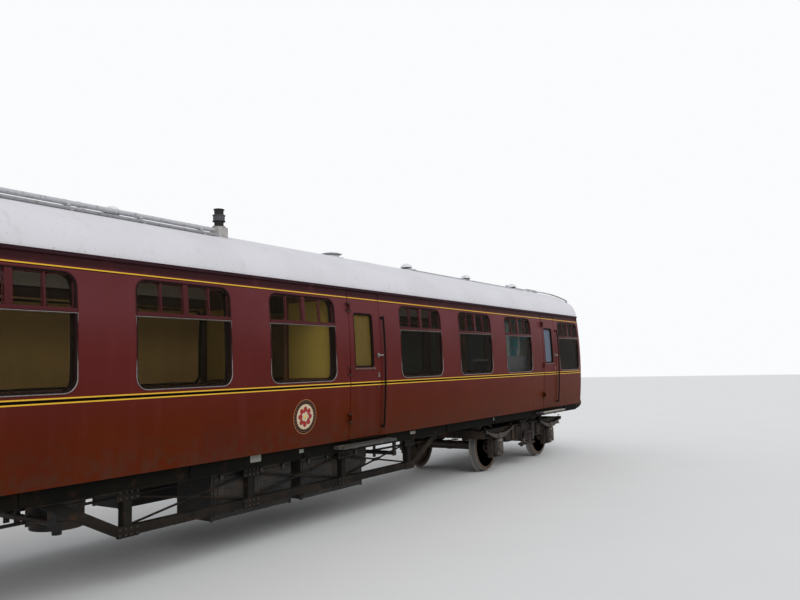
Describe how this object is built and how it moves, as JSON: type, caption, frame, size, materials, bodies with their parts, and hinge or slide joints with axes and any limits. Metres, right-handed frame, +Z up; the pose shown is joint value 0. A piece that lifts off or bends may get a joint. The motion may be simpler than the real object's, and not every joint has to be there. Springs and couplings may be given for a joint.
{
  "type": "bogie passenger coach",
  "caption": "Corridor passenger coach in maroon with a pale arched roof, slam doors, toplight windows, gangways and two bogies.",
  "frame": {"origin": "middle of the coach's plan, at the height of the wheel flanges' tips (29 mm below the rail tops)", "axes": "+X along the coach, towards the end at the right of the picture; the pictured side faces -Y; +Z up"},
  "size_m": [20.75, 2.864, 4.0139],
  "materials": {
    "body_paint": "semi-gloss",
    "roof_paint": "matt",
    "end_paint": "satin",
    "underframe_paint": "matt",
    "bogie_paint": "matt",
    "cast_metal": "matt",
    "step_wood": "worn paint",
    "buffer_steel": "oiled",
    "floor_wood": "linoleum",
    "frame_paint": "semi-gloss",
    "window_glass": "clear",
    "blind_fabric": "woven",
    "rail_paint": "gloss",
    "bellows_rubber": "matt",
    "faceplate_steel": "worn",
    "chimney_paint": "matt",
    "panel_wood": "varnish",
    "seat_fabric": "woven",
    "unit_enamel": "enamel",
    "spring_steel": "rusty",
    "wheel_steel": "worn"
  },
  "bodies": {
    "coach": {"underframe": "underframe_paint", "solebars": "underframe_paint", "headstocks": "underframe_paint", "body_bolsters": "underframe_paint", "truss_frames": "underframe_paint", "battery_boxes": "underframe_paint", "brake_cylinders": "cast_metal", "step_boards": "step_wood", "buffers": "buffer_steel", "couplers": "cast_metal", "floor": "floor_wood", "side_walls": "body_paint", "gutters": "body_paint", "roof_crown": "roof_paint", "roof_haunches": "roof_paint", "roof_shoulders": "roof_paint", "end_walls": "end_paint", "window_frames": "frame_paint", "window_glass": "window_glass", "window_blinds": "blind_fabric", "hinge_lugs": "body_paint", "grab_rails": "rail_paint", "gangway_bellows": "bellows_rubber", "gangway_faceplates": "faceplate_steel", "roof_vents": "roof_paint", "roof_pipes": "roof_paint", "chimney": "chimney_paint", "partitions": "panel_wood", "bench_frames": "panel_wood", "bench_cushions": "seat_fabric", "kitchen_unit": "unit_enamel", "end_steps": "underframe_paint"},
    "door_front_left": {"door_front_left": "body_paint", "door_front_left_glass": "window_glass"},
    "door_front_right": {"door_front_right": "body_paint", "door_front_right_glass": "window_glass"},
    "door_middle_left": {"door_middle_left": "body_paint", "door_middle_left_glass": "window_glass"},
    "door_middle_right": {"door_middle_right": "body_paint", "door_middle_right_glass": "window_glass"},
    "door_rear_left": {"door_rear_left": "body_paint", "door_rear_left_glass": "window_glass"},
    "door_rear_right": {"door_rear_right": "body_paint", "door_rear_right_glass": "window_glass"},
    "end_door_front": {"end_door_front": "panel_wood"},
    "bogie_front": {"bogie_front_frame": "bogie_paint", "bogie_front_axleboxes": "cast_metal", "bogie_front_springs": "spring_steel"},
    "wheelset_front_outer": {"wheelset_front_outer": "wheel_steel"},
    "wheelset_front_inner": {"wheelset_front_inner": "wheel_steel"},
    "end_door_rear": {"end_door_rear": "panel_wood"},
    "bogie_rear": {"bogie_rear_frame": "bogie_paint", "bogie_rear_axleboxes": "cast_metal", "bogie_rear_springs": "spring_steel"},
    "wheelset_rear_outer": {"wheelset_rear_outer": "wheel_steel"},
    "wheelset_rear_inner": {"wheelset_rear_inner": "wheel_steel"}
  },
  "joints": [
    {"name": "door_front_left_hinge", "type": "hinge", "parent": "coach", "child": "door_front_left", "pos_m": [8.236, 1.388, 2.1], "axis": [0, 0, -1], "range_deg": [0, 90]},
    {"name": "door_front_right_hinge", "type": "hinge", "parent": "coach", "child": "door_front_right", "pos_m": [7.492, -1.388, 2.1], "axis": [0, 0, -1], "range_deg": [0, 90]},
    {"name": "door_middle_left_hinge", "type": "hinge", "parent": "coach", "child": "door_middle_left", "pos_m": [1.524, 1.388, 2.1], "axis": [0, 0, -1], "range_deg": [0, 90]},
    {"name": "door_middle_right_hinge", "type": "hinge", "parent": "coach", "child": "door_middle_right", "pos_m": [0.78, -1.388, 2.1], "axis": [0, 0, -1], "range_deg": [0, 90]},
    {"name": "door_rear_left_hinge", "type": "hinge", "parent": "coach", "child": "door_rear_left", "pos_m": [-8.582, 1.388, 2.1], "axis": [0, 0, -1], "range_deg": [0, 90]},
    {"name": "door_rear_right_hinge", "type": "hinge", "parent": "coach", "child": "door_rear_right", "pos_m": [-9.326, -1.388, 2.1], "axis": [0, 0, -1], "range_deg": [0, 90]},
    {"name": "end_door_front_hinge", "type": "hinge", "parent": "coach", "child": "end_door_front", "pos_m": [9.728, 0.33, 2.3], "axis": [0, 0, -1], "range_deg": [0, 90]},
    {"name": "end_door_rear_hinge", "type": "hinge", "parent": "coach", "child": "end_door_rear", "pos_m": [-9.728, -0.33, 2.3], "axis": [0, 0, -1], "range_deg": [0, 90]},
    {"name": "bogie_front_pivot", "type": "hinge", "parent": "coach", "child": "bogie_front", "pos_m": [7.0865, 0, 0.9], "axis": [0, 0, 1], "range_deg": [-4, 4]},
    {"name": "wheelset_front_outer_axle", "type": "hinge", "parent": "bogie_front", "child": "wheelset_front_outer", "pos_m": [8.382, 0, 0.486], "axis": [0, 1, 0], "continuous": true},
    {"name": "wheelset_front_inner_axle", "type": "hinge", "parent": "bogie_front", "child": "wheelset_front_inner", "pos_m": [5.791, 0, 0.486], "axis": [0, 1, 0], "continuous": true},
    {"name": "bogie_rear_pivot", "type": "hinge", "parent": "coach", "child": "bogie_rear", "pos_m": [-7.0865, 0, 0.9], "axis": [0, 0, 1], "range_deg": [-4, 4]},
    {"name": "wheelset_rear_outer_axle", "type": "hinge", "parent": "bogie_rear", "child": "wheelset_rear_outer", "pos_m": [-8.382, 0, 0.486], "axis": [0, 1, 0], "continuous": true},
    {"name": "wheelset_rear_inner_axle", "type": "hinge", "parent": "bogie_rear", "child": "wheelset_rear_inner", "pos_m": [-5.791, 0, 0.486], "axis": [0, 1, 0], "continuous": true}
  ]
}
